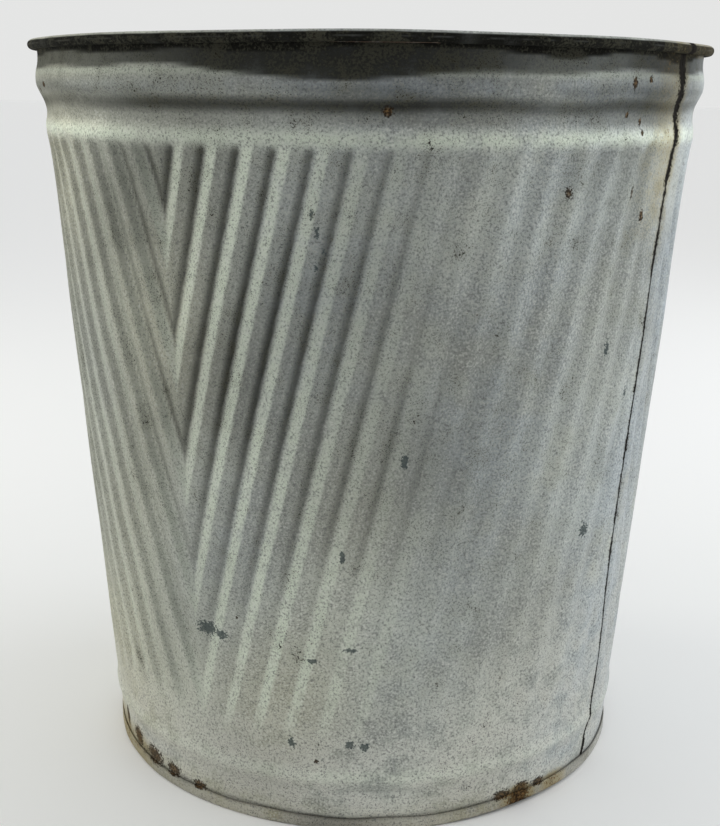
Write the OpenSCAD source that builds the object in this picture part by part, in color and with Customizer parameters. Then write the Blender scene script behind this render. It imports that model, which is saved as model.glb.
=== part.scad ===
// Open waste bin of pressed sheet steel: two chevron-ribbed half sheets lapped at two upright
// seams, a lip rolled outwards over a wire ring, and a bottom pan hemmed around the wall's edge.
// Millimetres, +Z up, origin on the floor at the bin's axis. The front is towards -Y.

/* [Overall] */
// Height from the floor to the top of the rolled lip
bin_h = 330; // [280:5:400]
// Outside diameter across the rolled lip
lip_d = 307; // [280:1:370]
// Outside diameter of the wall where it enters the base hem
base_d = 247; // [205:1:270]
// Thickness of the galvanised sheet
sheet_t = 0.6; // [0.5:0.05:0.9]

/* [Lip and neck] */
// Diameter of the wire ring inside the rolled lip
wire_d = 2.5; // [2:0.1:4]
// Depth of the bead's crest below the top of the lip
bead_drop = 17; // [14:1:20]
// How far the bead stands out from the neck
bead_out = 0.6; // [0.2:0.1:2]
// Depth of the waist under the bead below the top of the lip
waist_drop = 29; // [26:1:33]
// How far the waist lies inside the neck
waist_in = 3.2; // [1:0.1:5]
// Depth of the shoulder, where the ribs start, below the top of the lip
shoulder_drop = 37.5; // [36:0.5:60]
// How far the shoulder lies inside the neck
shoulder_in = 2.9; // [1:0.1:5]

/* [Ribs] */
// Height above the floor where the ribs end
rib_base = 42; // [34:1:80]
// Ribs in each quarter of the wall, between a chevron line and a seam
ribs_per_quarter = 16; // [10:1:18]
// How far the valleys between the ribs are pressed in
rib_depth = 1.5; // [0.5:0.1:2.5]
// Rib spacings that a rib moves sideways over its height, by the chevron line
climb_middle = 5; // [3:1:6]
// The same close to a seam
climb_seam = 2.7; // [2:0.1:6]
// Length over which the ribs' rounded top ends rise
rib_end = 6; // [5:1:10]
// Direction of the front sheet's chevron line, from straight ahead towards the right
chevron_angle = -33.3; // [-60:0.1:60]

/* [Seams] */
// Width of the rear sheet's margin under the front sheet
lap = 7; // [4:0.5:8]
// Gap between the two sheets in a lap, and between the ends of their lips
seam_gap = 0.3; // [0.2:0.05:0.5]
// How far round the seams swing near the base, in degrees, each seen from its left
seam_swing = 2.6; // [0:0.1:4]
// Height at which that swing begins
swing_z = 95; // [80:5:140]

/* [Base] */
// Height of the pan's folded hem around the wall's lower edge
hem_h = 6; // [4:0.5:9]
// Clearance of the wall's edge in the hem
hem_gap = 0.3; // [0.2:0.05:0.6]
// Height of the ridge in the plain band over the hem
ridge_z = 25; // [22:1:28]
// How far that ridge stands out
ridge_out = 0.6; // [0:0.1:1.5]
// Height of the pan's floor above the ground
floor_z = 9; // [7:0.5:14]
// Diameter of the pan's raised middle panel
panel_d = 170; // [100:1:185]
// How far the middle panel is raised
panel_rise = 2; // [0:0.5:4]

/* [Hidden] */
$fn = 96;

// Clearance between the wire and the sheet rolled around it
wire_gap = 0.35;
roll_hole_r = wire_d / 2 + wire_gap;
roll_r = roll_hole_r + sheet_t;
roll_centre = [lip_d / 2 - roll_r, bin_h - roll_r];
// The roll closes down to this angle under its own centre
roll_end = -120;
roll_steps = 8;

neck_r = lip_d / 2 - 2 * roll_r + sheet_t;
neck_z = bin_h - 2 * roll_r - 3;
bead_z = bin_h - bead_drop;
waist_z = bin_h - waist_drop;
waist_r = neck_r - waist_in;
shoulder_z = bin_h - shoulder_drop;
shoulder_r = neck_r - shoulder_in;
base_r = base_d / 2;
rib_len = shoulder_z - rib_base;

// The mesh has three columns to a rib: its crest, halfway down its long side, and the valley
quarter = 3 * ribs_per_quarter;
step = 90 / quarter;
rib_rows = 3 * climb_middle;
row_h = rib_len / rib_rows;
// Column widths left plain beside a seam, and how closely columns crowd there low down
plain_width = 3;
crowding = 0.3;
// The margin's joggle under the front sheet
joggle = sheet_t + seam_gap;

// Radius of the plain cone between the hem and the shoulder
function cone_r(z) = base_r + (shoulder_r - base_r) * (z - hem_h) / (shoulder_z - hem_h);

// Smooth rise from 0 to 1
function ease(t) = (1 - cos(180 * t)) / 2;

// Rows of the wall's outer face, from the bottom up: height, radius, rib strength, 1 where the
// row has every column, and the seam: 0 butted, 0.5 joggled inwards, 1 joggled and lapped
low_rows = [
    [hem_gap + sheet_t + 0.4, base_r, 0, 0, 0],
    [hem_h, base_r, 0, 0, 0],
    [hem_h + 6, cone_r(hem_h + 6) + 0.2, 0, 0, 0.5],
    [ridge_z - 5, cone_r(ridge_z - 5) - 0.1, 0, 0, 1],
    [ridge_z, cone_r(ridge_z) + ridge_out, 0, 0, 1],
    [ridge_z + 7, cone_r(ridge_z + 7), 0, 0, 1]
];
rib_zone = [
    for (k = [rib_rows:-1:1])
        let (z = shoulder_z - k * row_h) [z, cone_r(z), k == rib_rows ? 0 : 1, 1, 1],
    [shoulder_z - rib_end, cone_r(shoulder_z - rib_end), 1, 1, 1],
    [shoulder_z, shoulder_r, 0, 1, 1]
];
high_rows = [
    [(shoulder_z + waist_z) / 2, (shoulder_r + waist_r) / 2, 0, 0, 1],
    [waist_z, waist_r, 0, 0, 1],
    for (t = [0.25:0.25:1])
        [waist_z + (bead_z - waist_z) * t, waist_r + (waist_in + bead_out) * ease(t), 0, 0, 1],
    [(bead_z + neck_z) / 2, neck_r + bead_out / 3, 0, 0, 0.5],
    [neck_z, neck_r, 0, 0, 0]
];
wall_rows = concat(low_rows, rib_zone, high_rows);

// Rows around the roll at radius r, from the neck over the wire
function roll_rows(r) = [
    for (k = [0:roll_steps])
        let (a = 180 + (roll_end - 180) * k / roll_steps)
            [roll_centre[1] + r * sin(a), roll_centre[0] + r * cos(a), 0, 0, 0]
];

function inward(rows) = [for (row = rows) [row[0], row[1] - sheet_t, row[2], row[3], row[4]]];
function reversed(list) = [for (k = [len(list) - 1:-1:0]) list[k]];

// The sheet's whole section: up the outer face, over and back around the roll, down the inside
section = concat(
    wall_rows, roll_rows(roll_hole_r), reversed(roll_rows(roll_r)), reversed(inward(wall_rows))
);

// How far a rib's phase has moved at height z, in columns: at the chevron line, then at a seam
function moved(z, climb) = 3 * climb * max(0, min(rib_len, shoulder_z - z)) / rib_len;
function stretch(z) = 1 + (moved(z, climb_seam) - moved(z, climb_middle)) / quarter;

// Whole columns that have gone past the chevron line at height z
function gone(z) = floor(moved(z, climb_middle) + 0.01);

// Phase of the ribs in columns at column c, counted from the chevron line
function phase(c, z) = c == 0 ? moved(z, climb_middle) : gone(z) + c;

// Valley shape over one rib: a long fall from the crest, then a steeper rise
function valley(u) = let (f = u - floor(u)) min(1.5 * f, 3 * (1 - f));

// Place of column c, in plain column widths: on its rib, but no further than the crowded ones
function rib_place(c, z) = (c - moved(z, climb_middle) + gone(z)) / stretch(z);
function crowded_place(c) = quarter - crowding * (quarter - c);

function dent(c, row) =
    rib_place(c, row[0]) > min(quarter - plain_width, crowded_place(c)) ? 0
    : rib_depth * row[2] * valley(phase(c, row[0]) / 3);

// Angle of column c from the chevron line
function inner_angle(c, row) =
    c == 0 ? 0 : min(rib_place(c, row[0]), crowded_place(c)) * step;

// Sideways swing of the seams, spread over the last third of each quarter
function swing(z) = seam_swing * ease(max(0, min(1, (swing_z - z) / 45)));
function swung(a, z) = a + swing(z) * ease(max(0, min(1, abs(a) / 30 - 2)));

function lapped(row) = max(0, 2 * row[4] - 1);
function joggled(row) = min(1, 2 * row[4]);

// The last column lies at the seam, and a margin column follows on the sheet that has one
function edge_angle(row) = 90 - seam_gap / 2 / row[1] * 180 / PI;
function margin_angle(row) = edge_angle(row) + lapped(row) * lap / row[1] * 180 / PI;
function angle(c, row, margin) =
    c < quarter ? inner_angle(c, row)
    : margin == 0 ? edge_angle(row)
    : c == quarter ? edge_angle(row) - (1 - lapped(row)) * step / 6
    : margin_angle(row);

function radius(c, row, margin) = row[1] - dent(c, row)
    - (margin > 0 && c >= quarter ? joggle * joggled(row) : 0);

// Columns of a row, from one seam through the chevron line to the other
function columns(row, margin) = [
    for (c = [-quarter - margin:quarter + margin])
        if (row[3] == 1 || abs(c) > quarter || abs(c) % 3 == 0) c
];

function row_points(row, margin) = [
    for (c = columns(row, margin))
        let (
            a = swung(sign(c) * angle(abs(c), row, margin), row[0]),
            r = radius(abs(c), row, margin)
        )
            [r * sin(a), -r * cos(a), row[0]]
];

// Faces between two equal rows that start at points p and q. Each square is split along the
// ribs, which lean outwards from the chevron line; rising says that q is the higher row.
function even_faces(p, q, n, rising) = [
    for (k = [0:n - 2])
        let (right_half = k >= (n - 1) / 2)
            for (f = right_half == rising
                ? [[p + k, q + k, q + k + 1], [p + k, q + k + 1, p + k + 1]]
                : [[p + k, q + k, p + k + 1], [p + k + 1, q + k, q + k + 1]])
                f
];

// Faces between a full row and a sparse one; upward says that the full row comes first
function mixed_faces(full, sparse, cells, margin, upward) = [
    for (k = [0:margin - 1])
        for (s = [[0, 0], [margin + 3 * cells, margin + cells]])
            for (f = cell_faces(full + s[0] + k, sparse + s[1] + k, 1, upward)) f,
    for (k = [0:cells - 1])
        for (f = cell_faces(full + margin + 3 * k, sparse + margin + k, 3, upward)) f
];
function cell_faces(a, b, n, upward) = let (mid = floor(n / 2)) [
    for (k = [0:n - 1])
        let (apex = k <= mid ? b : b + 1) turned([a + k, apex, a + k + 1], upward),
    turned([a + mid + 1, b, b + 1], upward)
];
function turned(f, upward) = upward ? f : [f[0], f[2], f[1]];

// One half sheet, centred on its chevron line, with a lap margin at both seams if margin is 1
module half_sheet(margin) {
    rows = len(section);
    counts = [for (row = section) len(columns(row, margin))];
    starts = [for (k = 0, at = 0; k < rows; at = at + counts[k], k = k + 1) at];
    sides = [
        for (k = [0:rows - 1])
            let (m = (k + 1) % rows, p = starts[k], q = starts[m])
                for (f = counts[k] == counts[m]
                    ? even_faces(p, q, counts[k], section[m][0] > section[k][0])
                    : counts[k] > counts[m] ? mixed_faces(p, q, 2 * ribs_per_quarter, margin, true)
                    : mixed_faces(q, p, 2 * ribs_per_quarter, margin, false))
                    f
    ];
    // Both ends are closed by pairing each row of the outer face with the inner face behind it
    ends = [
        for (k = [0:rows / 2 - 2])
            let (m = rows - 1 - k, tail = counts[k] - 1, next_tail = counts[k + 1] - 1)
                for (f = [
                    [starts[k], starts[m], starts[k + 1]],
                    [starts[k + 1], starts[m], starts[m - 1]],
                    [starts[k] + tail, starts[k + 1] + next_tail, starts[m] + tail],
                    [starts[k + 1] + next_tail, starts[m - 1] + next_tail, starts[m] + tail]
                ])
                    f
    ];
    polyhedron(
        points = [for (row = section) each row_points(row, margin)],
        faces = concat(sides, ends),
        convexity = 10
    );
}

module front_sheet() {
    color([0.68, 0.69, 0.68])
        rotate([0, 0, chevron_angle])
            half_sheet(0);
}

module rear_sheet() {
    color([0.64, 0.66, 0.66])
        rotate([0, 0, chevron_angle + 180])
            half_sheet(1);
}

// Half section of the pan: floor, flange down inside the wall, fold, and hem up outside it
module pan_section() {
    hem_out = base_r + hem_gap + sheet_t;
    flange_r = base_r - sheet_t - hem_gap - 0.2;
    flange_in = flange_r - sheet_t;
    panel_r = panel_d / 2;
    panel_foot = panel_r + panel_rise + 1;
    corner = sheet_t / 4;
    polygon([
        [0, floor_z + panel_rise], [panel_r, floor_z + panel_rise], [panel_foot, floor_z],
        [flange_r, floor_z], [flange_r, sheet_t], [hem_out - sheet_t, sheet_t],
        [hem_out - sheet_t, hem_h - corner], [hem_out - sheet_t + corner, hem_h],
        [hem_out - corner, hem_h], [hem_out, hem_h - corner], [hem_out, corner],
        [hem_out - corner, 0], [flange_in + corner, 0], [flange_in, corner],
        [flange_in, floor_z - sheet_t], [panel_foot, floor_z - sheet_t],
        [panel_r, floor_z + panel_rise - sheet_t], [0, floor_z + panel_rise - sheet_t]
    ]);
}

module bottom_pan() {
    color([0.60, 0.58, 0.52])
        rotate_extrude()
            pan_section();
}

module rim_wire() {
    color([0.35, 0.34, 0.32])
        translate([0, 0, roll_centre[1]])
            rotate_extrude()
                translate([roll_centre[0], 0])
                    circle(d = wire_d, $fn = 32);
}

front_sheet();
rear_sheet();
bottom_pan();
rim_wire();
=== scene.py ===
import math

import bpy
import numpy as np
from mathutils import Matrix, Vector


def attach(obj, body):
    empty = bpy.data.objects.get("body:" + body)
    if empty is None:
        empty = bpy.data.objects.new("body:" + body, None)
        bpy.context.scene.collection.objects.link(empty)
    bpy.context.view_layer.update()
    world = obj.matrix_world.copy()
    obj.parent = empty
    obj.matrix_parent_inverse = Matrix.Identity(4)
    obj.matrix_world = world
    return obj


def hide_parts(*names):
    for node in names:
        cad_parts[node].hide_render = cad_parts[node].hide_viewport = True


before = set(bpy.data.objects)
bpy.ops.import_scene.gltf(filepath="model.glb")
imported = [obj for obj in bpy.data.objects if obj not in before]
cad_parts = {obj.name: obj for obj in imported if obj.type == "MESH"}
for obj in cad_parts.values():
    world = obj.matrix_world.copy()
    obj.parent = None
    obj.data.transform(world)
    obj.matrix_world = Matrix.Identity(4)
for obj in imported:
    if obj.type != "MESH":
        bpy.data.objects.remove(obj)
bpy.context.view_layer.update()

# The looks of an open bin of ribbed galvanised sheet. Metres, +Z up, the front towards -Y.
# An azimuth is in degrees, 0 straight at the front and positive towards +X. A theta is in degrees
# too, but counted from the chevron line, which is the middle of a half sheet.

MM = 0.001

# ---------------------------------------------------------------- sizes, as in the CAD source

BIN_H = 330 * MM
LIP_R = 153.5 * MM
BASE_R = 123.5 * MM
SHEET = 0.6 * MM

# The lip's roll, and the angle at which it ends, in degrees up from straight outwards
ROLL_R = 2.2 * MM
ROLL_END = -120

# From the lip down: neck, bead, waist and shoulder
NECK_R = LIP_R - 2 * ROLL_R + SHEET
NECK_Z = BIN_H - 2 * ROLL_R - 3 * MM
BEAD_Z = BIN_H - 17 * MM
BEAD_OUT = 0.6 * MM
WAIST_Z = BIN_H - 29 * MM
WAIST_R = NECK_R - 3.2 * MM
SHOULDER_Z = BIN_H - 37.5 * MM
SHOULDER_R = NECK_R - 2.9 * MM

# The ribs: their number in 90 degrees, and how many pitches one moves sideways over its height
RIBS = 16
CLIMB_MIDDLE = 5
CLIMB_SEAM = 2.7
RIB_BASE = 42 * MM
RIB_DEPTH = 1.5 * MM
PITCH = 90 / RIBS
RIB_LEN = SHOULDER_Z - RIB_BASE

# Lengths over which the ribs fade out at their top and at their foot
RIB_END = 6 * MM
RIB_RUNOUT = 20 * MM

# The front's chevron line and the seam to the right of it, as azimuths, and the lap at a seam
CHEVRON = -33.3
SEAM = CHEVRON + 90
LAP = 7 * MM
SEAM_GAP = 0.3 * MM
JOGGLE = SHEET + SEAM_GAP

# The low ridge, and the bottom pan with its hem around the wall and its flange inside it
RIDGE_Z = 25 * MM
RIDGE_OUT = 0.6 * MM
HEM_H = 6 * MM
HEM_GAP = 0.3 * MM
HEM_R = BASE_R + HEM_GAP + SHEET
FLANGE_R = BASE_R - SHEET - HEM_GAP - 0.2 * MM
FLOOR_Z = 9 * MM
PANEL_R = 85 * MM
PANEL_RISE = 2 * MM

# ---------------------------------------------------------------- what only the looks need

# Within a rib's pitch: where the crest lies, then the share of the pitch that falls to the valley
CREST = 0.03
FALL = 0.55

# The valley's section: its rounding, what makes its depth 1 again, and how it narrows
VALLEY_ROUND = 0.014
VALLEY_GAIN = 1.13
VALLEY_POWER = 1.35

# The seam's swing, finer than the CAD's: height in millimetres, then degrees to the right
SWING = [
    (0, 0.0), (8, 0.3), (14, 1.0), (20, 2.0), (32, 2.7), (54, 2.8), (70, 2.2), (86, 1.2),
    (104, 0.6), (200, 0.6), (250, 1.0), (280, 1.5), (292, 2.0), (303, 1.6), (312, 0.4), (330, 0.0),
]

# Heights at which black grime and painted shade start on the neck, and the painted shadow under the
# lip
NECK_GRIME_AND_SHADE_Z = BIN_H - 13.4 * MM
LIP_SHADOW_Z = BIN_H - 8 * MM

# Height above which the seam stands open and rusts
OPEN_SEAM_Z = 225 * MM

# Marks on the wall: azimuth in degrees, then height, width and tallness in millimetres
TEAL_MARKS = [
    (-30.8, 88, 9, 6), (-27.6, 87, 6, 4), (-2.4, 87, 6, 1.6), (-13.8, 41, 3, 5), (-2.4, 42, 4, 3.5),
    (0.3, 41, 4, 3.5), (44.9, 128, 4, 6), (44.7, 208, 2.2, 8), (6.4, 170, 2.5, 6), (-33.6, 115, 2, 6),
    (-9.4, 81, 4, 2), (-3.9, 129, 2, 5), (53, 186, 2, 5), (-8.4, 266, 1.4, 4), (-7.6, 259, 1.6, 4),
    (-6.6, 252, 2.2, 3), (-7.8, 245, 1.5, 5), (-5.4, 248, 1.6, 2), (-9, 272, 1.3, 3),
]
BROWN_MARKS = [
    (2.5, 303, 3.4, 3.4), (31.7, 273, 3.4, 4.5), (42, 314, 2.6, 4.5), (46, 315, 2.4, 2.6),
    (42.3, 302, 2, 2.6), (46, 299.5, 1.8, 3), (46.5, 295, 1.8, 2.4), (46.8, 271, 2.6, 6.5),
    (50, 262, 2.4, 5), (-24, 96, 2, 3), (-66, 311, 5, 2.4), (-71, 309, 2.2, 2.6), (-9, 33, 1.8, 1.8),
    (-36, 7, 7, 4), (-44, 8, 9, 6), (-51, 9, 12, 8), (-59, 11, 9, 9), (-66, 15, 5, 10), (30, 8, 9, 4),
    (35, 9, 8, 4), (40, 8, 7, 3.5),
]


# ---------------------------------------------------------------- small numeric helpers

def ease(t):
    """Smooth rise from 0 to 1."""
    t = np.clip(t, 0, 1)
    return t * t * (3 - 2 * t)


def hump(x, centre, width):
    """1 at the centre, falling smoothly to 0 at half the width either side."""
    return ease(1 - np.abs(x - centre) / (width / 2))


def through(points, x):
    """A smooth curve through the points, as a cubic with finite-difference slopes."""
    px, py = np.array(points, float).T
    slope = np.gradient(py, px)
    k = np.clip(np.searchsorted(px, x) - 1, 0, len(px) - 2)
    h = px[k + 1] - px[k]
    t = np.clip((x - px[k]) / h, 0, 1)
    a, b = 2 * t**3 - 3 * t**2 + 1, t**3 - 2 * t**2 + t
    c, d = 3 * t**2 - 2 * t**3, t**3 - t**2
    return a * py[k] + b * h * slope[k] + c * py[k + 1] + d * h * slope[k + 1]


def waves(azimuth, z, seed, turns, lengths, count=9):
    """A smooth seeded wobble over the wall, about -1 to 1.

    It adds up count waves. Each has a whole number of turns around and any length upwards, both
    drawn from a range.
    """
    rng = np.random.default_rng(seed)
    total = np.zeros(np.broadcast(azimuth, z).shape)
    for _ in range(count):
        around = rng.integers(turns[0], turns[1] + 1)
        up = rng.uniform(-1, 1) * 2 * math.pi / rng.uniform(*lengths)
        total += np.sin(np.radians(azimuth) * around + z * up + rng.uniform(0, 2 * math.pi))
    return total / math.sqrt(count)


def wrapped(azimuth):
    """The same direction between -180 and 180 degrees."""
    return (azimuth + 180) % 360 - 180


def on_ring(azimuth, radius, height):
    """Points at an azimuth, a radius and a height."""
    a = np.radians(azimuth)
    return np.stack([radius * np.sin(a), -radius * np.cos(a), height], -1)


# ---------------------------------------------------------------- the wall's shape

def cone(z):
    """The plain cone's radius at a height, without ridge or ribs."""
    return BASE_R + (SHOULDER_R - BASE_R) * (z - HEM_H) / (SHOULDER_Z - HEM_H)


# The outside of the wall: height, radius
WALL = [
    (0.8 * MM, BASE_R), (HEM_H, BASE_R), (HEM_H + 4 * MM, cone(HEM_H + 4 * MM) + 0.1 * MM),
    (RIDGE_Z - 6 * MM, cone(RIDGE_Z - 6 * MM) - 0.1 * MM),
    (RIDGE_Z - 4 * MM, cone(RIDGE_Z - 4 * MM) + 0.05 * MM),
    (RIDGE_Z - 1 * MM, cone(RIDGE_Z) + RIDGE_OUT + 0.2 * MM),
    (RIDGE_Z + 3 * MM, cone(RIDGE_Z + 3 * MM) + 0.35 * MM),
    (RIDGE_Z + 7 * MM, cone(RIDGE_Z + 7 * MM)), (RIB_BASE, cone(RIB_BASE)),
    (RIB_BASE + RIB_LEN / 3, cone(RIB_BASE + RIB_LEN / 3)),
    (RIB_BASE + 2 * RIB_LEN / 3, cone(RIB_BASE + 2 * RIB_LEN / 3)),
    (SHOULDER_Z - 8 * MM, cone(SHOULDER_Z - 8 * MM)),
    (SHOULDER_Z, SHOULDER_R + 0.45 * MM), (SHOULDER_Z + 2.5 * MM, SHOULDER_R + 0.3 * MM),
    (SHOULDER_Z + 5.5 * MM, WAIST_R), (WAIST_Z, WAIST_R),
    (WAIST_Z + 3 * MM, WAIST_R + 0.6 * MM), (WAIST_Z + 7 * MM, WAIST_R + 2.4 * MM),
    (WAIST_Z + 9.5 * MM, NECK_R + 0.3 * MM), (BEAD_Z, NECK_R + BEAD_OUT),
    (BEAD_Z + 3.5 * MM, NECK_R + 0.45 * MM), (BEAD_Z + 6.5 * MM, NECK_R - 0.2 * MM),
    (NECK_Z, NECK_R - 0.4 * MM), (BIN_H - ROLL_R, NECK_R),
]


def rib_phase(theta, z):
    """Rib count at an angle from the chevron line, the same on both sides of it."""
    drop = (SHOULDER_Z - z) / RIB_LEN
    side = np.abs(theta) / 90
    return np.abs(theta) / PITCH + drop * (CLIMB_MIDDLE + (CLIMB_SEAM - CLIMB_MIDDLE) * side)


def rib_place(theta, z):
    """Place within a rib's pitch, 0 at its crest, FALL in the valley, 1 at the next crest."""
    return (rib_phase(theta, z) - CREST) % 1


def ribbed(z):
    """1 over the ribs' height, fading out at both ends."""
    top = ease((SHOULDER_Z + 1 * MM - z) / RIB_END)
    foot = ease((z - RIB_BASE + 4 * MM) / RIB_RUNOUT)
    return top * foot


def groove(theta, z):
    """How far the wall is pressed in between the ribs, 0 on a crest to 1 in a valley."""
    place = rib_place(theta, z)
    climb = np.where(place < FALL, 1 - place / FALL, (place - FALL) / (1 - FALL))
    depth = 1 - np.sqrt(climb**2 + VALLEY_ROUND)
    profile = (VALLEY_GAIN * np.clip(depth, 0, 1)) ** VALLEY_POWER
    plain_strip = 2.2 + 4 * ease((z - 210 * MM) / (70 * MM))
    beside_seam = ease((90 - np.abs(theta) - plain_strip) / 3.5)
    return profile * ribbed(z) * beside_seam


def warp(azimuth, z):
    """Dents and waviness of an old bin, outwards, in metres."""
    slow = waves(azimuth, z, 3, (2, 7), (0.15, 0.5)) * 0.3 * MM
    dents = waves(azimuth, z, 8, (9, 26), (0.03, 0.09), 14) * 0.1 * MM
    neck = ease((z - WAIST_Z + 3 * MM) / (8 * MM)) * (1 - ease((z - NECK_Z) / (4 * MM)))
    ripple = waves(azimuth, z, 5, (7, 19), (0.04, 0.09), 10) * 0.28 * MM * neck
    above_hem = ease((z - HEM_H) / (12 * MM))
    return (slow + dents + ripple) * above_hem


def lip_lift(azimuth):
    """How far the lip bows up or down at an azimuth."""
    bow = 1.1 * hump(wrapped(azimuth), 0, 150) - 0.25
    return MM * (bow + 0.12 * waves(azimuth, 0 * azimuth, 21, (3, 9), (1, 2), 5))


def base_lift(azimuth, z):
    """How far the bent hem stands off the floor, fading out above it."""
    a = wrapped(azimuth)
    lift = 1.7 * hump(a, 38, 60) + 0.3 * hump(a, -62, 50) + 0.5 * hump(a, 150, 70)
    return lift * MM * np.clip(1 - z / (16 * MM), 0, 1)


def seam_swing(z):
    """How many degrees the seam stands to the right of its straight line at a height."""
    return through(SWING, z / MM)


# ---------------------------------------------------------------- dirt and rust, as smooth fields

def seam_distance(azimuth, z):
    """Distance around the wall from the nearer seam line, in metres, positive to its right."""
    line = SEAM + seam_swing(z)
    near = wrapped(azimuth - line)
    far = wrapped(azimuth - line - 180)
    return np.radians(np.where(np.abs(near) < np.abs(far), near, far)) * cone(z)


def rib_sides(theta, z):
    """The falling and the rising side of the ribs, each 0 to 1, within the ribbed height."""
    place = rib_place(theta, z)
    here = ribbed(z) * ease((86 - np.abs(theta)) / 3)
    falling = ease((place - 0.1) / 0.4) * (1 - ease((place - FALL + 0.04) / 0.1))
    rising = ease((place - FALL - 0.02) / 0.12) * (1 - ease((place - 0.93) / 0.07))
    return falling * here, rising * here


def grime_and_shade_field(azimuth, theta, z, inside):
    """0 on clean zinc to 1 where black, from grime and from painted shade."""
    a = wrapped(azimuth)
    wobble = waves(azimuth, z, 41, (3, 16), (0.05, 0.2)) * 0.6 * MM

    # The neck down to a ragged edge, grime deepened by painted shade, blackest in the painted shadow
    # under the lip
    edge = 1.3 * hump(a, -34, 26) - 4.2 * hump(a, -4, 56) - 1.2 * hump(a, 22, 30)
    neck = ease((z - NECK_GRIME_AND_SHADE_Z - edge * MM + wobble) / (2.2 * MM))
    neck = neck * (0.42 + 0.26 * hump(a, -8, 90))
    shadow_under_lip = ease((z - LIP_SHADOW_Z + 2 * wobble) / (2.5 * MM))
    shadow_under_lip = shadow_under_lip * (0.75 + 0.2 * hump(a, 0, 120))

    # The waist's fold and the bead's underside, darkened with dirt and painted shade, a film from
    # there up, and streaks under the bead
    waist = hump(z + wobble / 2, WAIST_Z + 4 * MM, 13 * MM) * (0.36 + 0.26 * hump(a, -5, 110))
    bead = (0.14 + 0.1 * hump(a, 0, 80)) * ease((z - SHOULDER_Z - 2 * MM) / (6 * MM))
    streaks = waves(azimuth, z, 49, (3, 22), (0.01, 0.03), 16)
    bead = bead + 0.13 * ease(0.5 + streaks) * hump(z, BEAD_Z - 3 * MM, 9 * MM)

    # Painted shade on the ribs' falling sides right of the chevron line and on their rising sides
    # left of it, and a broad painted shade near that line
    chevron = ease(1 - np.abs(a - CHEVRON - 14) / 38) * ease((z - 50 * MM) / (150 * MM))
    left = ease((CHEVRON + 2 - a) / 6) * ease((a + 110) / 20)
    falling, rising = rib_sides(theta, z)
    rib_light_and_shade = falling * (0.06 + 0.52 * chevron) + rising * 0.22 * left
    rib_light_and_shade = np.maximum(rib_light_and_shade, 0.2 * chevron * (1 - rising))

    # The joint at the hem's top, and dirt with painted shade in the crease under the low ridge
    foot = hump(z, HEM_H + 0.5 * MM, 5 * MM) * 0.25
    crease_dirt_and_shade = hump(z, RIDGE_Z - 6 * MM, 3.5 * MM) * (0.08 + 0.45 * hump(a, 4, 22))

    # A cloudy film everywhere, and a darkening that grows higher up the wall
    cloud = 0.07 * waves(azimuth, z, 43, (2, 9), (0.08, 0.3)) + 0.04
    high = ease((z - 50 * MM) / (150 * MM)) * (1 - hump(z, SHOULDER_Z + 1 * MM, 13 * MM))
    total = np.maximum.reduce([neck, shadow_under_lip, waist, bead, rib_light_and_shade, foot, crease_dirt_and_shade])
    return np.clip(total + cloud + 0.18 * high + 0.15 * inside, 0, 1)


def roll_grime_and_highlights(azimuth, z, r):
    """Grime around the lip's roll, with painted highlights along its top and in a thin line in front,
    and black grime between.
    """
    # Painted highlight along the top of the roll, and a thin painted highlight line across its front
    top = ease((z - BIN_H + 1.2 * MM) / (0.7 * MM))
    highlit = hump(z, BIN_H - ROLL_R - 0.15 * MM, 1.1 * MM) * (r > LIP_R - 0.8 * MM)
    streaks = waves(azimuth, 0 * azimuth + z, 45, (10, 60), (0.01, 0.03), 14)
    return np.clip(1 - 0.8 * top - 0.32 * highlit * ease(0.5 + streaks) + 0.1 * streaks, 0, 1)


def seam_dirt_and_shade_field(azimuth, z):
    """1 along the seam's dark line, dirt in the joint and painted shade of an open gap, which widens
    towards the top.
    """
    wide = (1.9 + 1.6 * ease((z - OPEN_SEAM_Z) / (60 * MM))) * MM
    return np.exp(-(seam_distance(azimuth, z) / wide) ** 2)


def rust_field(azimuth, z, inside):
    """0 on clean zinc to 1 in solid rust."""
    a = wrapped(azimuth)

    # Along the seam, with a wide stain to its left near the top
    away = seam_distance(azimuth, z)
    upper = ease((z - OPEN_SEAM_Z) / (55 * MM))
    halo = np.exp(-(away / (7 * MM)) ** 2) * (0.12 + 0.45 * upper)
    stained = ease(1.2 + away / (34 * MM)) * (away < 0) * 0.4 * upper

    # Up from the hem, in patches, most at the left and the right of the front
    patches = np.abs(waves(azimuth, 0 * z, 47, (6, 26), (1, 2)))
    left = hump(a, -70, 62)
    right = hump(a, 38, 46)
    hem = 1 - ease((z - 5 * MM) / ((3 + 5 * patches + 14 * left) * MM))
    spread = 0.04 + 0.5 * left + 0.5 * right * (0.4 + patches) + 0.1 * patches

    # The lip's two ends as seen from the front, and the waist
    tips = ease((z - BIN_H + 7 * MM) / (2 * MM))
    tips = tips * (0.06 + 0.4 * hump(a, 66, 40) + 0.2 * hump(a, -74, 30))
    waist = hump(z, WAIST_Z + 6 * MM, 9 * MM) * 0.1
    total = np.maximum.reduce([halo, stained, hem * spread, tips, waist])
    return np.clip(total + 0.12 * inside, 0, 1)


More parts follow.
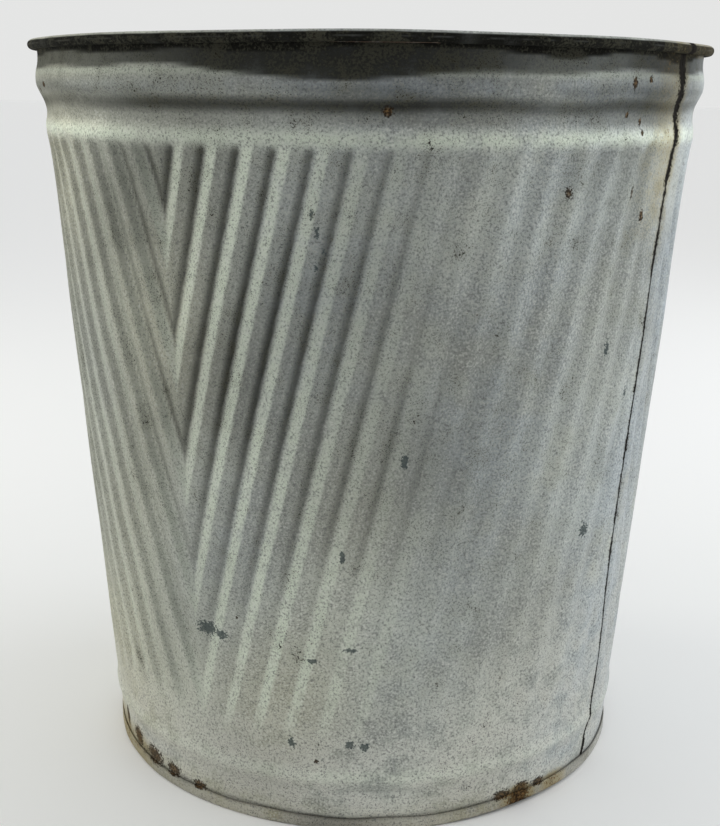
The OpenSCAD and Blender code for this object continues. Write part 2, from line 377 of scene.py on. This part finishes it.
def painted_highlight_field(azimuth, theta, z):
    """1 where a pale painted highlight lies: one side of the ribs, and the ridges."""
    a = wrapped(azimuth)
    falling, rising = rib_sides(theta, z)
    # Painted highlights on one side of the ribs, on the shoulder, the low ridge and the top of the
    # bead
    rib_light_and_shade = rising * hump(a, -20, 74) + falling * 0.6 * hump(a, -54, 40)
    low_ridge = hump(z, RIDGE_Z + 1 * MM, 12 * MM) * (0.4 + 0.6 * hump(a, 2, 100))
    shoulder = hump(z, SHOULDER_Z + 0.5 * MM, 10 * MM)
    bead = 0.7 * hump(z, BEAD_Z + 3.5 * MM, 4 * MM)
    return np.clip(np.maximum.reduce([rib_light_and_shade, shoulder + low_ridge, bead]), 0, 1)


def bleach_field(azimuth, z):
    """1 where the zinc has gone chalky, low on the wall and higher at the right."""
    a = wrapped(azimuth)
    reach = (55 + 80 * ease((a - 5) / 40) * ease((95 - a) / 30)) * MM
    return 1 - ease((z - 18 * MM) / reach)


def tint_field(azimuth, z):
    """-1 where the zinc is warm and yellowish to 1 where it is blue-grey."""
    a = wrapped(azimuth)
    turn = np.sin(np.radians(azimuth))
    low = ease((120 * MM - z) / (70 * MM)) * ease(0.6 - turn) * 0.55
    bead = hump(z, BEAD_Z - 2 * MM, 12 * MM) * 0.5
    peeled = hump(z, 16 * MM, 18 * MM) * hump(a, -54, 44)
    cloud = 0.28 * waves(azimuth, z, 63, (2, 9), (0.08, 0.3))
    foot = 0.45 * (1 - ease((z - 6 * MM) / (12 * MM)))
    return np.clip(0.15 + 0.6 * turn - low - foot + bead + peeled + cloud, -1, 1)


# ---------------------------------------------------------------- what every new piece needs

FIELDS = ("grime_and_shade", "rust", "painted_highlight", "seam_dirt_and_shade", "tint", "bleach")


def add_fields(mesh, fields):
    """Stores each field as a named number on every point, for the materials."""
    for name, values in fields.items():
        layer = mesh.attributes.new(name, "FLOAT", "POINT")
        layer.data.foreach_set("value", np.ravel(values).astype(np.float32))


def smooth_piece(name, points, faces, fields):
    """A smooth-shaded mesh with sharp folds, and its fields."""
    mesh = bpy.data.meshes.new(name)
    mesh.from_pydata(points.tolist(), [], faces)
    mesh.shade_smooth()
    mesh.set_sharp_from_angle(angle=math.radians(50))
    add_fields(mesh, fields)
    piece = bpy.data.objects.new(name, mesh)
    bpy.context.collection.objects.link(piece)
    return piece


def ring_faces(index):
    """Quads between the rows of a grid of point numbers whose last row joins its first."""
    up = np.roll(index, -1, axis=0)
    return np.stack([index[:, :-1], index[:, 1:], up[:, 1:], up[:, :-1]], -1).reshape(-1, 4)


# ---------------------------------------------------------------- the two half sheets

# Thirteen columns to a rib, across both sides of the chevron line
COLUMNS = 13 * 2 * RIBS

# Heights of the rows on the wall, up its outside and then down its inside
OUTER_Z = np.concatenate([
    np.linspace(1.2 * MM, RIB_BASE, 22, endpoint=False),
    np.linspace(RIB_BASE, SHOULDER_Z - 12 * MM, 78, endpoint=False),
    np.linspace(SHOULDER_Z - 12 * MM, BIN_H - ROLL_R, 36),
])
INNER_Z = np.concatenate([
    np.linspace(1.2 * MM, RIB_BASE, 9, endpoint=False),
    np.linspace(RIB_BASE, SHOULDER_Z - 10 * MM, 32, endpoint=False),
    np.linspace(SHOULDER_Z - 10 * MM, BIN_H - ROLL_R, 18),
])[::-1]

# Angles of the rows in the roll, round the wire's hollow and then back round its outside
HOLLOW = np.linspace(180, ROLL_END, 12)[1:]
AROUND = np.linspace(ROLL_END, 180, 31)[:-1]


def wall_radius(azimuth, theta, z, inset):
    """Radius of the ribbed and dented wall, less an inset. Its ribs are deepest at the top."""
    depth = RIB_DEPTH * (0.86 + 0.14 * ease((z - RIB_BASE) / RIB_LEN))
    return through(WALL, z) - groove(theta, z) * depth + warp(azimuth, z) - inset


def roll_rows(radius, angles):
    """Rows around the roll, as kind, height and radius, before the lip's own bow."""
    a = np.radians(angles)
    heights = BIN_H - ROLL_R + radius * np.sin(a)
    radii = LIP_R - ROLL_R + radius * np.cos(a)
    return [("roll", z, r) for z, r in zip(heights, radii)]


def sheet_rows():
    """Rows around a sheet's closed section, as kind, height and, on the roll, radius."""
    return (
        [("outer", z, None) for z in OUTER_Z]
        + roll_rows(ROLL_R - SHEET, HOLLOW)
        + roll_rows(ROLL_R, AROUND)
        + [("inner", z, None) for z in INNER_Z]
    )


def row_angles(theta, reach, kind, z, lapped):
    """Angles along a row, and how far it steps in where it goes under the other sheet.

    Only a lapped sheet's wall has margins that go under, and they end above the hem and at the
    bead. Their step takes up the last two degrees before the seam.
    """
    t = theta.copy()
    above_hem = ease((z - 12 * MM) / (7 * MM))
    below_bead = 1 - ease((z - BEAD_Z - 1 * MM) / (7 * MM))
    margin = above_hem * below_bead if lapped and kind != "roll" else 0.0
    edge = ease((np.abs(t) - (reach - 2.2)) / 2.0)
    step = JOGGLE * edge * min(1.0, 2 * margin)
    spread = math.degrees(LAP / BASE_R) * max(0.0, 2 * margin - 1)
    t[0] -= spread
    t[-1] += spread
    return t, step


def half_sheet(name, turn, lapped):
    """One half of the wall as a closed thin solid; a lapped one goes under the other's edges."""
    reach = 90 - math.degrees(SEAM_GAP / 2 / LIP_R)
    theta = np.linspace(-reach, reach, COLUMNS + 1)
    rows = sheet_rows()
    points = []
    fields = {field: [] for field in FIELDS}
    for kind, z, r in rows:
        t, step = row_angles(theta, reach, kind, z, lapped)
        azimuth = t + turn + seam_swing(z) * ease(np.abs(t) / 30 - 2)
        zz = np.full_like(t, z)
        inside = 1.0 if kind == "inner" else 0.0
        if kind == "roll":
            wobble = 1 + 0.04 * waves(azimuth, z, 31, (5, 40), (0.01, 0.03))
            centre = LIP_R - ROLL_R
            radius = centre + (r - centre) * wobble + warp(azimuth, np.full_like(t, NECK_Z)) * 0.5
            height = zz + lip_lift(azimuth)
            grime_and_shade = roll_grime_and_highlights(azimuth, z, r)
        else:
            radius = wall_radius(azimuth, theta, zz, SHEET * inside) - step
            height = zz + lip_lift(azimuth) * ease((zz - BEAD_Z) / (12 * MM))
            height = height + base_lift(azimuth, zz)
            grime_and_shade = grime_and_shade_field(azimuth, theta, zz, inside)
        points.append(on_ring(azimuth, radius, height))
        fields["grime_and_shade"].append(grime_and_shade)
        fields["rust"].append(rust_field(azimuth, zz, inside))
        fields["painted_highlight"].append(painted_highlight_field(azimuth, theta, zz) * (kind == "outer"))
        fields["seam_dirt_and_shade"].append(seam_dirt_and_shade_field(azimuth, zz) * (kind != "inner"))
        fields["tint"].append(tint_field(azimuth, zz))
        fields["bleach"].append(bleach_field(azimuth, zz) * (kind == "outer"))
    points = np.array(points)
    index = np.arange(points.shape[0] * points.shape[1]).reshape(points.shape[:2])
    faces = ring_faces(index).tolist() + end_faces(index, rows)
    return smooth_piece(name, points.reshape(-1, 3), faces, fields)


def end_faces(index, rows):
    """Closes both ends of a sheet with a strip of triangles between its two faces."""
    folded = len(OUTER_Z) + len(HOLLOW)
    outer = list(range(folded))
    inner = list(range(len(rows) - 1, folded - 1, -1))

    def way(chain):
        """How far along a face each row is: 0 to 1 up the wall, then 1 to 2 around the roll."""
        wall = [rows[k][1] / BIN_H for k in chain if rows[k][0] != "roll"]
        turns = len(chain) - len(wall)
        return wall + [1 + (n + 1) / turns for n in range(turns)]

    faces = []
    outer_way = way(outer)
    inner_way = way(inner)
    for column, left in ((0, True), (-1, False)):
        i = j = 0
        while i < len(outer) - 1 or j < len(inner) - 1:
            step_outer = j == len(inner) - 1 or (
                i < len(outer) - 1 and outer_way[i + 1] <= inner_way[j + 1])
            a, b = int(index[outer[i], column]), int(index[inner[j], column])
            if step_outer:
                i += 1
                c = int(index[outer[i], column])
            else:
                j += 1
                c = int(index[inner[j], column])
            faces.append([a, c, b] if left else [a, b, c])
    return faces


front = half_sheet("front_sheet_metal", CHEVRON, False)
rear = half_sheet("rear_sheet_metal", CHEVRON + 180, True)


# ---------------------------------------------------------------- the bottom pan

def pan_section():
    """The pan's section as radius and height: out over its top, around the hem and back beneath."""
    out, back = HEM_R, FLANGE_R - SHEET
    top, low = FLOOR_Z + PANEL_RISE, FLOOR_Z - SHEET
    foot = PANEL_R + PANEL_RISE + 1 * MM
    panel = [(r, top) for r in np.linspace(12 * MM, PANEL_R - 1 * MM, 7)]
    return [
        (0.02 * MM, top), *panel,
        (PANEL_R, top - 0.3 * MM), (foot - 0.6 * MM, FLOOR_Z + 0.4 * MM), (foot, FLOOR_Z),
        (foot + 14 * MM, FLOOR_Z), (FLANGE_R - 1 * MM, FLOOR_Z), (FLANGE_R, FLOOR_Z - 0.4 * MM),
        (FLANGE_R, 3 * MM), (FLANGE_R, SHEET), (out - SHEET, SHEET), (out - SHEET, 3 * MM),
        (out - SHEET, HEM_H - 0.1 * MM), (out - 0.4 * MM, HEM_H), (out - 0.15 * MM, HEM_H - 0.1 * MM),
        (out, HEM_H - 0.4 * MM), (out, HEM_H - 1.6 * MM), (out, 2.4 * MM), (out, 1.2 * MM),
        (out - 0.2 * MM, 0.5 * MM), (out - 0.6 * MM, 0.12 * MM), (out - 1.1 * MM, 0),
        (back + 0.6 * MM, 0), (back + 0.15 * MM, 0.15 * MM), (back, 0.6 * MM),
        (back, 3 * MM), (back, low - 1 * MM), (back - 1 * MM, low), (foot + 14 * MM, low),
        (foot, low), (PANEL_R, top - SHEET - 0.3 * MM), (PANEL_R - 2 * MM, top - SHEET),
        (12 * MM, top - SHEET), (0.02 * MM, top - SHEET),
    ]


def pan():
    """The pan turned around the axis in 540 columns, its hem a little uneven."""
    azimuth = np.linspace(0, 360, 540 + 1)
    points = []
    fields = {field: [] for field in FIELDS}
    for r, z in pan_section():
        zz = np.full_like(azimuth, z)
        # 0 on the floor to 1 on the hem, and true on the hem's outer face only
        hem = ease((r - FLANGE_R + SHEET - 1 * MM) / (1 * MM))
        outside = r > HEM_R - SHEET / 2

        ripple = 0.3 * MM * hem * waves(azimuth, zz, 51, (6, 30), (0.02, 0.06), 12)
        bulge = 0.1 * MM * hem * waves(azimuth, zz, 53, (5, 24), (0.02, 0.06), 12)
        height = zz + base_lift(azimuth, zz) + ripple * ease((z - 2 * MM) / (3 * MM))
        points.append(on_ring(azimuth, r + outside * bulge, height))

        patches = 0.1 * waves(azimuth, zz, 55, (3, 12), (0.05, 0.1)) * hem
        fold = 0.3 * hump(zz, HEM_H, 1.6 * MM) + 0.2 * hump(r, FLANGE_R, 14 * MM)
        fields["grime_and_shade"].append(0.12 + patches + fold + 0.25 * (1 - hem))
        fields["rust"].append(rust_field(azimuth, zz, 0) * hem + 0.2 * (1 - hem))
        fields["painted_highlight"].append(0 * zz)
        fields["seam_dirt_and_shade"].append(0 * zz)
        fields["tint"].append(tint_field(azimuth, zz) * hem)
        fields["bleach"].append(0 * zz + hem)

    # The last column of points lies on the first, so it is dropped and the faces join to that one
    points = np.array(points)[:, :-1]
    fields = {name: np.array(values)[:, :-1] for name, values in fields.items()}
    rows, columns = points.shape[:2]
    index = np.arange(rows * columns).reshape(rows, columns)
    closed = np.concatenate([index, index[:, :1]], axis=1)
    faces = ring_faces(closed)[: (rows - 1) * columns, ::-1].tolist()
    faces += [index[0].tolist(), index[-1].tolist()[::-1]]
    return smooth_piece("bottom_pan_metal", points.reshape(-1, 3), faces, fields)


bottom = pan()

for piece, node, material_slot in (
    (front, "front_sheet", "front_zinc"),
    (rear, "rear_sheet", "rear_zinc"),
    (bottom, "bottom_pan", "pan_zinc"),
):
    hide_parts(node)
    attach(piece, "root")


# ---------------------------------------------------------------- materials

class Graph:
    """A node material with short ways to build it."""

    def __init__(self, name):
        self.material = bpy.data.materials.new(name)
        self.material.use_nodes = True
        self.tree = self.material.node_tree
        self.shader = self.tree.nodes["Principled BSDF"]
        self.place = self.node("ShaderNodeTexCoord").outputs["Object"]

    def node(self, kind, **settings):
        node = self.tree.nodes.new(kind)
        for key, value in settings.items():
            setattr(node, key, value)
        return node

    def feed(self, socket, value):
        """Links a node's result to a socket, or sets a plain value on it."""
        if isinstance(value, bpy.types.NodeSocket):
            self.tree.links.new(value, socket)
        else:
            socket.default_value = value

    def math(self, operation, a, b=0.0, clamp=False):
        node = self.node("ShaderNodeMath", operation=operation, use_clamp=clamp)
        self.feed(node.inputs[0], a)
        self.feed(node.inputs[1], b)
        return node.outputs[0]

    def times(self, a, b, clamp=False):
        return self.math("MULTIPLY", a, b, clamp)

    def about_zero(self, noise, size):
        """Noise with its middle moved to 0, then made larger."""
        return self.times(self.math("SUBTRACT", noise, 0.5), size)

    def vector(self, operation, a, b=None):
        node = self.node("ShaderNodeVectorMath", operation=operation)
        self.feed(node.inputs[0], a)
        if b is not None:
            self.feed(node.inputs[1], b)
        return node.outputs["Value" if operation == "LENGTH" else "Vector"]

    def noise(self, scale, detail, roughness):
        node = self.node("ShaderNodeTexNoise")
        self.feed(node.inputs["Vector"], self.place)
        node.inputs["Scale"].default_value = scale
        node.inputs["Detail"].default_value = detail
        node.inputs["Roughness"].default_value = roughness
        return node.outputs[0]

    def band(self, value, low, high):
        """0 where the value is at low, 1 where it is at high, smooth between."""
        node = self.node("ShaderNodeMapRange", interpolation_type="SMOOTHSTEP")
        self.feed(node.inputs["Value"], value)
        node.inputs["From Min"].default_value = low
        node.inputs["From Max"].default_value = high
        return node.outputs[0]

    def mix(self, share, a, b):
        """A colour between a and b."""
        node = self.node("ShaderNodeMix", data_type="RGBA")
        self.feed(node.inputs["Factor"], share)
        self.feed(node.inputs["A"], a if isinstance(a, bpy.types.NodeSocket) else (*a, 1))
        self.feed(node.inputs["B"], b if isinstance(b, bpy.types.NodeSocket) else (*b, 1))
        return node.outputs["Result"]

    def blend(self, share, a, b):
        """A number between a and b."""
        node = self.node("ShaderNodeMix", data_type="FLOAT")
        self.feed(node.inputs["Factor"], share)
        self.feed(node.inputs["A"], a)
        self.feed(node.inputs["B"], b)
        return node.outputs["Result"]

    def field(self, name):
        return self.node("ShaderNodeAttribute", attribute_name=name).outputs["Fac"]

    def spots(self, marks, wobble):
        """1 within any of the marks on the wall, with edges moved by a wobble."""
        nearest = None
        for azimuth, height, width, tall in marks:
            a, radius = math.radians(azimuth), float(through(WALL, height * MM))
            centre = (radius * math.sin(a), -radius * math.cos(a), height * MM)
            scale = (2 / (width * MM), 2 / (width * MM), 2 / (tall * MM))
            offset = self.vector("SUBTRACT", self.place, centre)
            away = self.vector("LENGTH", self.vector("MULTIPLY", offset, scale))
            nearest = away if nearest is None else self.math("MINIMUM", nearest, away)
        return self.band(self.math("ADD", nearest, wobble), 1.25, 0.85)


# Colours of the metal: tints, painted highlights and chalky places, then its fine light and dark
# grains
YELLOWED = (0.60, 0.575, 0.40)
BLUISH = (0.415, 0.47, 0.52)
HIGHLIGHT_PALE = (0.72, 0.79, 0.66)
CHALK = (0.80, 0.785, 0.73)
PALE_GRAIN = (0.78, 0.79, 0.74)
DULL_GRAIN = (0.19, 0.195, 0.19)

# Colours of the dirt; the soot black also serves as painted shade
PEPPER = (0.04, 0.04, 0.036)
SOOT_AND_SHADE = (0.009, 0.009, 0.0075)
SOOT_FLECK = (0.044, 0.044, 0.033)
TEAL = (0.045, 0.065, 0.068)

# Colours of the rust, and of the seam's dark line, dirt in the joint with painted shade of the open
# gap
RUST_WASH = (0.36, 0.295, 0.14)
RUST_DARK = (0.024, 0.015, 0.008)
RUST_LIGHT = (0.17, 0.10, 0.04)
GAP_DIRT_AND_SHADE = (0.012, 0.010, 0.008)

# Colours of the wire
WIRE_BROWN = (0.11, 0.065, 0.04)
WIRE_BARE = (0.34, 0.32, 0.3)

# Roughness and metalness of clean zinc, and roughness under dirt or rust
ZINC_METALLIC = 0.72
ZINC_ROUGHNESS = 0.52
CRUST_ROUGHNESS = 0.9


def bare_zinc(g, light, dark, mottle, grain):
    """The metal's colour: mottled, tinted, with painted highlights on the ribs and ridges, chalky low
    down, and grained.
    """
    tint = g.field("tint")
    tone = g.math("ADD", g.times(g.noise(16, 3, 0.6), 0.45), g.times(mottle, 0.55))
    colour = g.mix(g.band(tone, 0.36, 0.64), dark, light)
    colour = g.mix(g.times(tint, -0.55, clamp=True), colour, YELLOWED)
    cool = g.times(tint, g.band(g.noise(34, 3, 0.6), 0.25, 0.6), clamp=True)
    colour = g.mix(g.times(cool, 0.75), colour, BLUISH)
    # Pale painted highlights on the ribs' sides and the ridges
    highlit = g.times(g.field("painted_highlight"), g.band(mottle, 0.15, 0.6))
    colour = g.mix(g.times(highlit, 0.8), colour, HIGHLIGHT_PALE)
    chalk = g.times(g.field("bleach"), g.band(mottle, 0.3, 0.65))
    colour = g.mix(g.times(chalk, 0.55), colour, CHALK)
    colour = g.mix(g.times(g.band(grain, 0.50, 0.68), 0.6), colour, PALE_GRAIN)
    return g.mix(g.times(g.band(grain, 0.50, 0.34), 0.75), colour, DULL_GRAIN)


def add_dirt(g, colour, mottle, grain, ragged):
    """Pepper, a film of soot and painted shade, and teal stains over a colour. Returns the colour and
    the film.
    """
    grime_and_shade = g.field("grime_and_shade")
    speck = g.noise(1900, 2, 0.6)
    pepper = g.times(g.band(speck, 0.56, 0.70), g.band(mottle, 0.36, 0.62))
    dusty = g.math("ADD", g.times(grime_and_shade, 1.6), 0.35, clamp=True)
    colour = g.mix(g.times(pepper, dusty), colour, PEPPER)
    # The soot film also paints the shade in the folds and the shadow under the lip
    soot_and_shade = g.band(g.math("ADD", grime_and_shade, g.about_zero(ragged, 0.9)), 0.02, 0.95)
    colour = g.mix(soot_and_shade, colour, g.mix(g.band(ragged, 0.46, 0.58), SOOT_AND_SHADE, SOOT_FLECK))
    stain = g.spots(TEAL_MARKS, g.about_zero(grain, 3.2))
    return g.mix(g.times(stain, 0.8), colour, TEAL), soot_and_shade


def add_rust(g, colour, soot_and_shade, grain, ragged, strength):
    """A brown wash with eaten spots in it. Returns the colour and where it is eaten."""
    rust = g.field("rust")
    reach = g.math("ADD", rust, g.about_zero(ragged, 1.5))
    clean = g.math("SUBTRACT", 1.0, g.times(soot_and_shade, 0.85))
    wash = g.times(g.times(g.band(reach, 0.1, 0.6), 0.78), clean)
    colour = g.mix(wash, colour, RUST_WASH)
    pocked = g.math("ADD", rust, g.about_zero(grain, 2.4))
    eaten = g.math("MAXIMUM", g.band(reach, 0.58, 0.78), g.band(pocked, 0.66, 0.82))
    eaten = g.math("MAXIMUM", eaten, g.spots(BROWN_MARKS, g.about_zero(grain, 3.0)))
    crust = g.mix(g.band(grain, 0.44, 0.64), RUST_DARK, RUST_LIGHT)
    return g.mix(g.times(eaten, strength), colour, crust), eaten


def zinc(name, light, dark, rust_strength):
    """Dull galvanised sheet: mottled, speckled, dirty and painted with shade in its folds, with
    painted highlights on its ribs and ridges, dark along the seam and rusty where it is open.
    """
    g = Graph(name)
    mottle = g.noise(85, 4, 0.62)
    grain = g.noise(1050, 3, 0.65)
    ragged = g.math("ADD", g.times(mottle, 0.5), g.times(grain, 0.5))

    colour = bare_zinc(g, light, dark, mottle, grain)
    colour, soot_and_shade = add_dirt(g, colour, mottle, grain, ragged)
    colour, eaten = add_rust(g, colour, soot_and_shade, grain, ragged, rust_strength)
    # The seam's dark line: dirt in the joint and painted shade of an open gap
    gap_dirt_and_shade = g.band(g.math("ADD", g.field("seam_dirt_and_shade"), g.about_zero(ragged, 3.2)), 0.3, 0.58)
    colour = g.mix(gap_dirt_and_shade, colour, GAP_DIRT_AND_SHADE)

    crust = g.math("MAXIMUM", g.math("MAXIMUM", eaten, gap_dirt_and_shade), soot_and_shade)
    roughness = g.blend(g.band(mottle, 0.3, 0.7), 0.46, 0.58)
    roughness = g.blend(crust, roughness, CRUST_ROUGHNESS)
    metallic = g.blend(crust, ZINC_METALLIC, 0.0)

    height = g.math("ADD", g.times(grain, 0.7), g.times(mottle, 0.9))
    height = g.math("SUBTRACT", height, g.times(eaten, 0.3))
    bump = g.node("ShaderNodeBump")
    bump.inputs["Strength"].default_value = 0.7
    bump.inputs["Distance"].default_value = 0.4 * MM
    g.feed(bump.inputs["Height"], height)

    # The plain values stand behind the linked ones, for a viewer that reads no nodes
    shader = g.shader
    shader.inputs["Base Color"].default_value = (*light, 1)
    shader.inputs["Roughness"].default_value = ZINC_ROUGHNESS
    shader.inputs["Metallic"].default_value = ZINC_METALLIC
    shader.inputs["Specular IOR Level"].default_value = 0.05
    g.feed(shader.inputs["Base Color"], colour)
    g.feed(shader.inputs["Roughness"], roughness)
    g.feed(shader.inputs["Metallic"], metallic)
    g.feed(shader.inputs["Normal"], bump.outputs["Normal"])
    return g.material


def drawn_wire():
    """Plain steel wire, browned all over, with patches of bare metal."""
    g = Graph("browned_wire")
    tone = g.math("ADD", g.times(g.noise(120, 3, 0.6), 0.6), g.times(g.noise(900, 3, 0.6), 0.4))
    bare = g.band(tone, 0.46, 0.62)
    shader = g.shader
    shader.inputs["Base Color"].default_value = (0.2, 0.17, 0.14, 1)
    g.feed(shader.inputs["Base Color"], g.mix(bare, WIRE_BROWN, WIRE_BARE))
    g.feed(shader.inputs["Metallic"], g.blend(bare, 0.1, 0.9))
    g.feed(shader.inputs["Roughness"], g.blend(bare, 0.85, 0.45))
    return g.material


def give(mesh, material):
    """Makes a material the mesh's only one."""
    mesh.materials.clear()
    mesh.materials.append(material)


give(front.data, zinc("weathered_zinc_front", (0.57, 0.60, 0.535), (0.34, 0.355, 0.325), 0.92))
give(rear.data, zinc("weathered_zinc_rear", (0.56, 0.585, 0.55), (0.34, 0.36, 0.345), 0.92))
give(bottom.data, zinc("rusty_zinc_pan", (0.56, 0.55, 0.47), (0.30, 0.28, 0.22), 1.0))
give(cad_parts["rim_wire"].data, drawn_wire())


# ---------------------------------------------------------------- floor, light and camera

def stage_plane(name, size, centre, tilt, shown):
    """A flat rectangle for the stage, tilted forwards by some degrees."""
    mesh = bpy.data.meshes.new(name)
    x, y = size[0] / 2, size[1] / 2
    mesh.from_pydata([(-x, -y, 0), (x, -y, 0), (x, y, 0), (-x, y, 0)], [], [(0, 1, 2, 3)])
    plane = bpy.data.objects.new(name, mesh)
    bpy.context.collection.objects.link(plane)
    plane.location = centre
    plane.rotation_euler = (math.radians(tilt), 0, 0)
    plane.visible_camera = shown
    return plane


def floor():
    """A wide pale floor at height 0."""
    plane = stage_plane("floor", (40, 40), (0, 0, 0), 0, True)
    g = Graph("pale_floor")
    g.shader.inputs["Base Color"].default_value = (0.96, 0.962, 0.965, 1)
    g.shader.inputs["Roughness"].default_value = 0.7
    g.shader.inputs["Specular IOR Level"].default_value = 0.1
    give(plane.data, g.material)


def dark_card(name, size, centre, tilt):
    """A black card that only light sees, dense in the middle and clear at its edges."""
    plane = stage_plane(name, size, centre, tilt, False)
    plane.visible_shadow = False
    g = Graph(name)
    flat = g.vector("MULTIPLY", g.place, (2 / size[0], 2 / size[1], 0))
    clear = g.node("ShaderNodeBsdfTransparent")
    black = g.node("ShaderNodeBsdfDiffuse")
    black.inputs["Color"].default_value = (0.02, 0.02, 0.02, 1)
    layered = g.node("ShaderNodeMixShader")
    g.feed(layered.inputs["Fac"], g.band(g.vector("LENGTH", flat), 1.0, 0.25))
    g.tree.links.new(clear.outputs[0], layered.inputs[1])
    g.tree.links.new(black.outputs[0], layered.inputs[2])
    output = g.tree.nodes["Material Output"]
    g.tree.links.new(layered.outputs[0], output.inputs["Surface"])
    give(plane.data, g.material)


floor()
dark_card("dark_front", (4.6, 1.3), (0, -1.0, -0.02), 90)

world = bpy.data.worlds.new("studio")
world.use_nodes = True
sky = world.node_tree.nodes["Background"]
sky.inputs["Color"].default_value = (0.78, 0.785, 0.78, 1)
sky.inputs["Strength"].default_value = 1.0
bpy.context.scene.world = world
bpy.context.scene.view_settings.view_transform = "Standard"


def area_light(name, place, size, power, colour):
    """A soft rectangular light aimed at the middle of the bin."""
    lamp = bpy.data.lights.new(name, "AREA")
    lamp.shape = "RECTANGLE"
    lamp.size, lamp.size_y = size
    lamp.energy = power
    lamp.color = colour
    light = bpy.data.objects.new(name, lamp)
    bpy.context.collection.objects.link(light)
    light.location = place
    aim = Vector((0, 0, 0.15)) - Vector(place)
    light.rotation_euler = aim.to_track_quat("-Z", "Y").to_euler()
    light.visible_camera = False


area_light("window_right", (1.4, 0.4, 0.55), (1.1, 1.0), 7.2, (0.92, 0.97, 1))
area_light("soft_left", (-1.2, 0.35, 0.55), (0.5, 0.7), 2.6, (1, 1, 0.86))


def make_camera():
    """The camera stands a little below the lip's height, nearly two bin heights from the axis."""
    away, height = 1.848 * BIN_H, 0.9468 * BIN_H
    pitch, roll, yaw = math.radians(14.535), math.radians(0.6075), math.radians(-0.294)
    level = math.cos(pitch)
    forward = Vector((math.sin(yaw) * level, math.cos(yaw) * level, -math.sin(pitch)))
    right = Vector((math.cos(yaw), -math.sin(yaw), 0))
    up = right.cross(forward)
    level_right = math.cos(roll) * right + math.sin(roll) * up
    level_up = -math.sin(roll) * right + math.cos(roll) * up
    data = bpy.data.cameras.new("camera")
    data.sensor_width = 36
    data.lens = 55.31
    data.clip_start = 0.01
    camera = bpy.data.objects.new("camera", data)
    bpy.context.collection.objects.link(camera)
    turn = Matrix((level_right, level_up, -forward)).transposed().to_quaternion()
    camera.matrix_world = Matrix.LocRotScale(Vector((0, -away, height)), turn, None)
    bpy.context.scene.camera = camera


make_camera()
